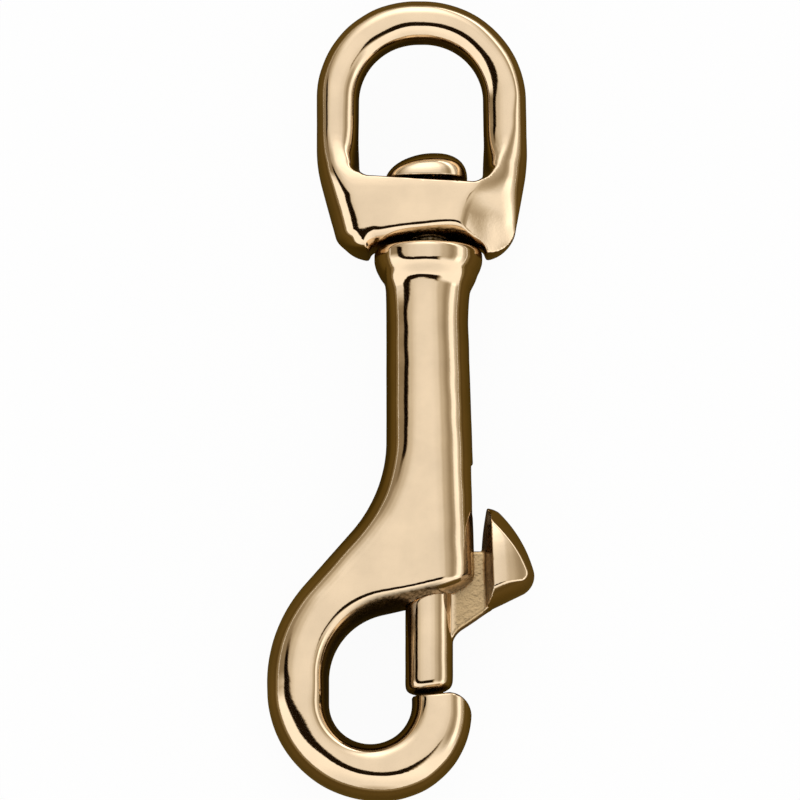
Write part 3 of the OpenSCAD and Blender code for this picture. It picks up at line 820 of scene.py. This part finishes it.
class SNAP_OT_hook_body(bpy.types.Operator):
    """Cast the hook with its barrel, collar and riveted head"""

    bl_idname = "snap.hook_body"
    bl_label = "Hook body"

    def execute(self, context):
        s = in_mm(context.scene.snap_hook)
        piece, p, normals = cast(
            "hook_body_casting", lambda x, y, z: hook_body_field(s, x, y, z),
            (s.left - MARGIN, -HOOK_DROP - MARGIN, -HOOK_DEEP), (HOOK_RIGHT, HOOK_TOP, HOOK_DEEP), HOOK_VOXEL,
        )
        x, y, z = p.T
        # Painted shade with some tarnish: steep sides, the insides, the root's underside in shadow, and the
        # bore and post hidden in shade
        wall = steepness(normals)
        inside = ramp(hook_rails(s)[1].foot(x, y)[0], *HOOK_INSIDE)
        bore = ramp(np.hypot(x, z), *BORE_WALL) * ramp(y, *BORE_FROM) * ramp(y, *BORE_TO)
        post = ramp(y, *POST_FROM) * ramp(y, *POST_TO)
        root = ramp(-normals[:, 1], *ROOT_FACING) * inside * ramp(y, *ROOT_ABOVE) * ramp(x, *ROOT_LEFT)
        dark = [RIM_DARK * wall, HOOK_DARK * wall * inside, ROOT_DARK * root, bore, post]
        tarnish = np.maximum.reduce(dark)
        buff(piece, as_cast=np.zeros(len(p)), tarnish=tarnish)
        fit(piece, "body", "hook_body")
        return {"FINISHED"}


class SNAP_OT_swivel_eye(bpy.types.Operator):
    """Cast the swivel eye with its bar"""

    bl_idname = "snap.swivel_eye"
    bl_label = "Swivel eye"

    def execute(self, context):
        s = in_mm(context.scene.snap_eye)
        piece, p, normals = cast(
            "swivel_eye_casting", lambda x, y, z: eye_field(s, x, y, z),
            (s.out_left - MARGIN, s.foot_y - END_MARGIN, -EYE_DEEP),
            (s.out_right + MARGIN, s.out_top + MARGIN, EYE_DEEP), EYE_VOXEL,
        )
        x, y, _ = p.T
        # Painted shade with some tarnish: steep sides, the insides and the arch's underside over the collar
        wall = steepness(normals)
        inside = ramp(eye_inner(s).foot(x, y)[0], *EYE_INSIDE)
        arch = ramp(-normals[:, 1], *ARCH_FACING) * ramp(y, *ARCH_BELOW) * ramp(np.abs(x), *ARCH_WITHIN)
        tarnish = np.maximum.reduce([RIM_DARK * wall, EYE_DARK * wall * inside, ARCH_DARK * arch])
        buff(piece, as_cast=np.zeros(len(p)), tarnish=tarnish)
        fit(piece, "eye", "swivel_eye")
        return {"FINISHED"}


class SNAP_OT_bolt(bpy.types.Operator):
    """Cast the bolt with its web and thumb lever"""

    bl_idname = "snap.bolt"
    bl_label = "Bolt"

    def execute(self, context):
        s = in_mm(context.scene.snap_bolt)
        piece, p, normals = cast(
            "bolt_casting", lambda x, y, z: bolt_field(s, x, y, z),
            (BOLT_LEFT, s.rod_low - END_MARGIN, -BOLT_DEEP), (BOLT_RIGHT, BOLT_TOP, BOLT_DEEP), BOLT_VOXEL,
        )
        x, y, z = p.T
        # The web is left as cast; painted shade with some tarnish darkens the steep sides, the rod's end and
        # the fin's flank
        web = ramp(x, *WEB_FROM) * ramp(x, *WEB_TO) * ramp(np.abs(z), *WEB_WITHIN)
        end = ramp(-normals[:, 1], *END_FACING) * ramp(y, *END_BELOW)
        flank = ramp(-normals[:, 0], *FLANK_FACING) * ramp(x, *FLANK_FROM)
        wall = steepness(normals) * (1 - web)
        tarnish = np.maximum.reduce([RIM_DARK * wall, END_DARK * end, FLANK_DARK * flank])
        buff(piece, as_cast=web, tarnish=tarnish)
        fit(piece, "bolt", "bolt")
        return {"FINISHED"}


# The spring's end turns that are wound close, how far those rise in wire diameters, and its steps and sides
DEAD_TURNS, DEAD_RISE = 1.2, 1.26
COIL_STEPS, WIRE_SIDES = 24, 12


def spring_nodes(s, settings):
    """A node group that winds a wire into a spring, and the identifiers of its inputs."""
    tree = bpy.data.node_groups.new("wound_spring", "GeometryNodeTree")
    sockets = {}
    for name in settings:
        kind = "NodeSocketMaterial" if name == "Material" else "NodeSocketFloat"
        sockets[name] = tree.interface.new_socket(name, in_out="INPUT", socket_type=kind).identifier
    tree.interface.new_socket("Geometry", in_out="OUTPUT", socket_type="NodeSocketGeometry")
    given = node(tree, "NodeGroupInput").outputs
    coil = node(tree, "GeometryNodeCurveSpiral", {
        "Resolution": COIL_STEPS, "Rotations": given["Turns"], "Start Radius": given["Coil radius"],
        "End Radius": given["Coil radius"], "Height": 0.0,
    })
    along = node(tree, "GeometryNodeSplineParameter").outputs["Factor"]
    wound = node(tree, "ShaderNodeFloatCurve", {"Value": along})
    curve = wound.mapping.curves[0]
    dead = DEAD_TURNS / s.turns
    close = DEAD_RISE * s.wire_r * 2 * MM / settings["Rise"]
    for spot in ((dead, close), (1 - dead, 1 - close)):
        curve.points.new(*spot)
    for point in curve.points:
        point.handle_type = "VECTOR"
    wound.mapping.update()
    lift = maths(tree, "MULTIPLY", wound.outputs["Value"], given["Rise"])
    risen = node(tree, "GeometryNodeSetPosition", {
        "Geometry": coil.outputs["Curve"],
        "Offset": node(tree, "ShaderNodeCombineXYZ", {"Z": lift}).outputs["Vector"],
    })
    ring = node(tree, "GeometryNodeCurvePrimitiveCircle", {
        "Resolution": WIRE_SIDES, "Radius": given["Wire radius"],
    })
    wire = node(tree, "GeometryNodeCurveToMesh", {
        "Curve": risen.outputs["Geometry"], "Profile Curve": ring.outputs["Curve"], "Fill Caps": True,
    })
    whole = node(tree, "GeometryNodeRealizeInstances", {"Geometry": wire.outputs["Mesh"]})
    dressed = node(tree, "GeometryNodeSetMaterial", {
        "Geometry": whole.outputs["Geometry"], "Material": given["Material"],
    })
    node(tree, "NodeGroupOutput", {"Geometry": dressed.outputs["Geometry"]})
    return tree, sockets


class SNAP_OT_spring(bpy.types.Operator):
    """Wind the spring that closes the bolt"""

    bl_idname = "snap.spring"
    bl_label = "Spring"

    def execute(self, context):
        s = in_mm(context.scene.snap_spring)
        settings = {
            "Turns": float(s.turns), "Coil radius": s.coil_r * MM, "Wire radius": s.wire_r * MM,
            "Rise": (s.high - s.low - 2 * s.wire_r) * MM, "Material": material_of("steel"),
        }
        tree, sockets = spring_nodes(s, settings)
        host = bpy.data.objects.new("spring_host", bpy.data.meshes.new("spring_host"))
        context.collection.objects.link(host)
        modifier = host.modifiers.new("Spring", "NODES")
        modifier.node_group = tree
        for name, value in settings.items():
            modifier[sockets[name]] = value
        graph = context.evaluated_depsgraph_get()
        mesh = bpy.data.meshes.new_from_object(host.evaluated_get(graph))
        bpy.data.objects.remove(host)
        if not mesh.vertices:
            raise RuntimeError("the spring came out empty")
        base = ORIGIN + np.array([0, s.low + s.wire_r, 0])
        count = len(mesh.vertices)
        spots = np.empty(count * 3, np.float32)
        mesh.vertices.foreach_get("co", spots)
        spots = spots.reshape(-1, 3)
        spots = np.stack([spots[:, 0], spots[:, 2], -spots[:, 1]], 1) + base * MM
        mesh.vertices.foreach_set("co", spots.astype(np.float32).ravel())
        mesh.shade_smooth()
        mesh.update()
        piece = bpy.data.objects.new("bolt_spring_wire", mesh)
        context.collection.objects.link(piece)
        fit(piece, "body", "bolt_spring")
        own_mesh(piece)
        return {"FINISHED"}


# Light level by degrees from straight up: across the part, left to right, and along it, hook to eye
LIGHT_ACROSS = (
    (-90, 0.3), (-65, 0.5), (-50, 0.72), (-35, 0.9), (-20, 0.97), (0, 1.0), (20, 0.9), (35, 0.64), (53, 0.38),
    (60, 0.5), (68, 1.3), (76, 1.4), (82, 0.7), (90, 0.4),
)
LIGHT_ALONG = (
    (-90, 0.45), (-70, 0.8), (-40, 0.95), (0, 1.0), (25, 1.03), (36, 1.15), (46, 1.45),
    (62, 2.0), (80, 1.9), (88, 0.7), (90, 0.5),
)
# The overhead panel's left and front edges and its corner's rounding, then those of the light beyond the gap
PANEL = (69, 1, 40)
BEYOND = (75.5, 28, 62)
# Light level beyond the gap on the left and in front, and the angles along the part between which they change
LEFT_LEVEL, FRONT_LEVEL, FRONT_FROM = 0.3, 1.3, (12, -2)
# The gap's softness and darkness, its ends on the right and by the eye, and where the light beyond begins
GAP_SOFT, GAP_DARK = 1.5, 0.99
GAP_RIGHT, GAP_HEAD, BEYOND_FROM = (34, 18), (32, 16), (1, 11)
# Angles along the part between which the right-hand side stops being dimmer
RIGHT_EVENS = (-8, -28)
# How much more green and blue light fall off than red in dimmer places
WARMTH = (0.15, 0.45)


def studio_world():
    """A soft panel overhead, with a dark gap at its left and front that draws lines in polished metal."""
    world = bpy.data.worlds.new("soft_studio")
    bpy.context.scene.world = world
    world.use_nodes = True
    tree = world.node_tree
    tree.nodes.clear()

    def calc(operation, *values):
        return maths(tree, operation, *values)

    def step(value, start, stop):
        return node(tree, "ShaderNodeMapRange", {
            "Value": value, 1: start, 2: stop,
        }, interpolation_type="SMOOTHSTEP").outputs["Result"]

    def level(angle, stops):
        levels = node(tree, "ShaderNodeValToRGB", {"Fac": calc("MULTIPLY_ADD", angle, 1 / 180, 0.5)})
        set_ramp(levels.color_ramp, stops, -90, 90)
        return levels.outputs["Color"]

    sky = node(tree, "ShaderNodeTexCoord").outputs["Generated"]
    way = node(tree, "ShaderNodeSeparateXYZ", {"Vector": sky}).outputs
    across = calc("MULTIPLY", calc("ARCTAN2", way["X"], way["Z"]), 180 / math.pi)
    along = calc("MULTIPLY", calc("ARCSINE", way["Y"]), 180 / math.pi)
    right = level(calc("MAXIMUM", across, 0.0), LIGHT_ACROSS)
    right = calc("MULTIPLY_ADD", step(along, *RIGHT_EVENS), calc("SUBTRACT", 1.0, right), right)
    left = level(calc("MINIMUM", across, 0.0), LIGHT_ACROSS)

    def past(left_edge, front_edge, corner):
        over = calc("MAXIMUM", calc("SUBTRACT", corner - left_edge, across), 0.0)
        ahead = calc("MAXIMUM", calc("SUBTRACT", corner - front_edge, along), 0.0)
        off = calc("SQRT", calc("MULTIPLY_ADD", over, over, calc("MULTIPLY", ahead, ahead)))
        return calc("SUBTRACT", off, corner)

    inside, outside = past(*PANEL), past(*BEYOND)
    gap = calc("MULTIPLY", step(inside, -GAP_SOFT, GAP_SOFT), step(outside, GAP_SOFT, -GAP_SOFT))
    gap = calc("MULTIPLY", gap, calc("MULTIPLY", step(across, *GAP_RIGHT), step(along, *GAP_HEAD)))
    beyond = calc("MULTIPLY_ADD", step(along, *FRONT_FROM), FRONT_LEVEL - LEFT_LEVEL, LEFT_LEVEL)
    apart = step(inside, *BEYOND_FROM)
    side = calc("MULTIPLY_ADD", apart, calc("SUBTRACT", beyond, left), left)
    whole = calc("MULTIPLY", calc("MULTIPLY", right, level(along, LIGHT_ALONG)), side)
    whole = calc("MULTIPLY", whole, calc("MULTIPLY_ADD", gap, -GAP_DARK, 1.0))
    dim = calc("MINIMUM", whole, 1.0)
    warm = node(tree, "ShaderNodeCombineColor", {
        "Red": 1.0, "Green": calc("POWER", dim, WARMTH[0]), "Blue": calc("POWER", dim, WARMTH[1]),
    })
    light = node(tree, "ShaderNodeBackground", {"Color": warm.outputs["Color"], "Strength": whole})
    node(tree, "ShaderNodeOutputWorld", {"Surface": light.outputs["Background"]})


def set_ramp(colour_ramp, stops, low, high):
    """Fills a colour ramp with grey levels or colours at places between two ends."""
    colour_ramp.interpolation = "EASE"
    elements = colour_ramp.elements
    elements.remove(elements[1])
    for i, (place, level) in enumerate(stops):
        spot = (place - low) / (high - low)
        element = elements.new(spot) if i else elements[0]
        element.position = spot
        element.color = level if isinstance(level, list) else (level, level, level, 1)


# Half the floor's side in metres, and the share of its own shading that shows
FLOOR_HALF, FLOOR_OWN = 3.0, 0.05
# Colour of the card by distance from the part's long axis, in millimetres
CARD_SHADES = (
    (0, "#2E2209"), (10, "#47360F"), (20, "#604D20"), (35, "#655228"), (58, "#5C4A24"), (76, "#6B5A34"),
    (90, "#8F8060"),
)
CARD_END = CARD_SHADES[-1][0]
# The card's oval, its points, and its rows as shares of the oval with heights in metres, turned up at the rim
CARD_OVAL, CARD_POINTS = (0.55, 0.8), 48
CARD_ROWS = ((0.14, 0.0004), (0.17, 0.0004), (0.18, 0.009))
# Distances between which the camera sees, in metres
CLIP = (0.01, 20)


def white_floor(s):
    """Matt white paper: its own shading keeps the shadow, and the rest shows plain white to eye and metal."""
    material, tree = new_material("matt_white_paper")
    paths = node(tree, "ShaderNodeLightPath").outputs
    seen = maths(tree, "ADD", paths["Is Camera Ray"], paths["Is Glossy Ray"])
    seen = maths(tree, "ADD", seen, paths["Is Transmission Ray"])
    plain = maths(tree, "MULTIPLY", seen, 1 - FLOOR_OWN, clamp=True)
    paper = node(tree, "ShaderNodeBsdfDiffuse", {"Color": srgb(s.floor)})
    white = node(tree, "ShaderNodeEmission", {"Color": (1, 1, 1, 1), "Strength": 1.0})
    mixed = node(tree, "ShaderNodeMixShader", {
        0: plain, 1: paper.outputs["BSDF"], 2: white.outputs["Emission"],
    })
    node(tree, "ShaderNodeOutputMaterial", {"Surface": mixed.outputs["Shader"]})
    return material


def dark_card(s):
    """Brown card below the metal's sides: it draws their dark edges, and only reflections show it."""
    material, tree = new_material("brown_card")
    place = node(tree, "ShaderNodeTexCoord").outputs["Object"]
    spot = node(tree, "ShaderNodeSeparateXYZ", {"Vector": place}).outputs
    past = maths(tree, "SUBTRACT", maths(tree, "ABSOLUTE", spot["Y"]), s.card_reach * MM)
    past = maths(tree, "MAXIMUM", past, 0.0)
    away = node(tree, "ShaderNodeCombineXYZ", {"X": spot["X"], "Y": past})
    away = node(tree, "ShaderNodeVectorMath", {
        0: away.outputs["Vector"],
    }, operation="LENGTH").outputs["Value"]
    shades = node(tree, "ShaderNodeValToRGB", {"Fac": maths(tree, "MULTIPLY", away, 1 / (CARD_END * MM))})
    set_ramp(shades.color_ramp, [(at, srgb(code)) for at, code in CARD_SHADES], 0, CARD_END)
    glow = node(tree, "ShaderNodeEmission", {"Color": shades.outputs["Color"], "Strength": 1.0})
    node(tree, "ShaderNodeOutputMaterial", {"Surface": glow.outputs["Emission"]})
    return material


def plate(name, outline, heights, material):
    """A sheet over rows of points, each row an outline scaled out from the middle."""
    rows, n = len(heights), len(outline)
    points = [(x * k, y * k, z) for k, z in heights for x, y in outline]
    faces = [(r * n + i, r * n + (i + 1) % n, (r + 1) * n + (i + 1) % n, (r + 1) * n + i)
             for r in range(rows - 1) for i in range(n)]
    faces.append(tuple(range(n)))
    mesh = bpy.data.meshes.new(name)
    mesh.from_pydata(points, [], faces)
    mesh.materials.append(material)
    made = bpy.data.objects.new(name, mesh)
    bpy.context.collection.objects.link(made)
    return made


class SNAP_OT_stage(bpy.types.Operator):
    """Set the floor, the light and the camera"""

    bl_idname = "snap.stage"
    bl_label = "Stage"

    def execute(self, context):
        s = in_mm(context.scene.snap_studio)
        studio_world()
        square = [(-1, -1), (1, -1), (1, 1), (-1, 1)]
        plate("floor", square, ((FLOOR_HALF, 0.0),), white_floor(s))
        turns = [math.tau * i / CARD_POINTS for i in range(CARD_POINTS)]
        oval = [(CARD_OVAL[0] * math.cos(a), CARD_OVAL[1] * math.sin(a)) for a in turns]
        card = plate("card", oval, CARD_ROWS, dark_card(s))
        card.visible_camera = card.visible_diffuse = card.visible_shadow = card.visible_transmission = False
        lens = bpy.data.cameras.new("camera")
        lens.lens = s.lens
        lens.clip_start, lens.clip_end = CLIP
        camera = bpy.data.objects.new("camera", lens)
        context.collection.objects.link(camera)
        away = s.picture_w * MM * s.lens / lens.sensor_width
        camera.location = (0, -math.sin(s.lean) * away, AXIS_Z * MM + math.cos(s.lean) * away)
        camera.rotation_euler = (s.lean, 0, 0)
        context.scene.camera = camera
        context.scene.view_settings.view_transform = "Standard"
        return {"FINISHED"}


class SNAP_PT_panel(bpy.types.Panel):
    """Lists the pieces of the bolt snap"""

    bl_idname = "SNAP_PT_panel"
    bl_label = "Bolt snap"
    bl_space_type = "VIEW_3D"
    bl_region_type = "UI"
    bl_category = "Bolt snap"

    def draw(self, context):
        for operator in OPERATORS:
            self.layout.operator(operator.bl_idname)
        for key in GROUPS:
            box = self.layout.box()
            group = getattr(context.scene, key)
            for prop in group.__annotations__:
                box.prop(group, prop)


OPERATORS = (SNAP_OT_hook_body, SNAP_OT_swivel_eye, SNAP_OT_bolt, SNAP_OT_spring, SNAP_OT_stage)
GROUPS = {
    "snap_hook": HookSizes, "snap_eye": EyeSizes, "snap_bolt": BoltSizes, "snap_spring": SpringSizes,
    "snap_finish": Finish, "snap_studio": Studio,
}


def register():
    for made in (*GROUPS.values(), *OPERATORS, SNAP_PT_panel):
        bpy.utils.register_class(made)
    for key, group in GROUPS.items():
        setattr(bpy.types.Scene, key, PointerProperty(type=group))


def unregister():
    for key in GROUPS:
        delattr(bpy.types.Scene, key)
    for made in (SNAP_PT_panel, *reversed(OPERATORS), *reversed(GROUPS.values())):
        bpy.utils.unregister_class(made)


def main():
    register()
    bpy.ops.snap.hook_body()
    bpy.ops.snap.swivel_eye()
    bpy.ops.snap.bolt()
    bpy.ops.snap.spring()
    bpy.ops.snap.stage()


if __name__ == "__main__":
    main()
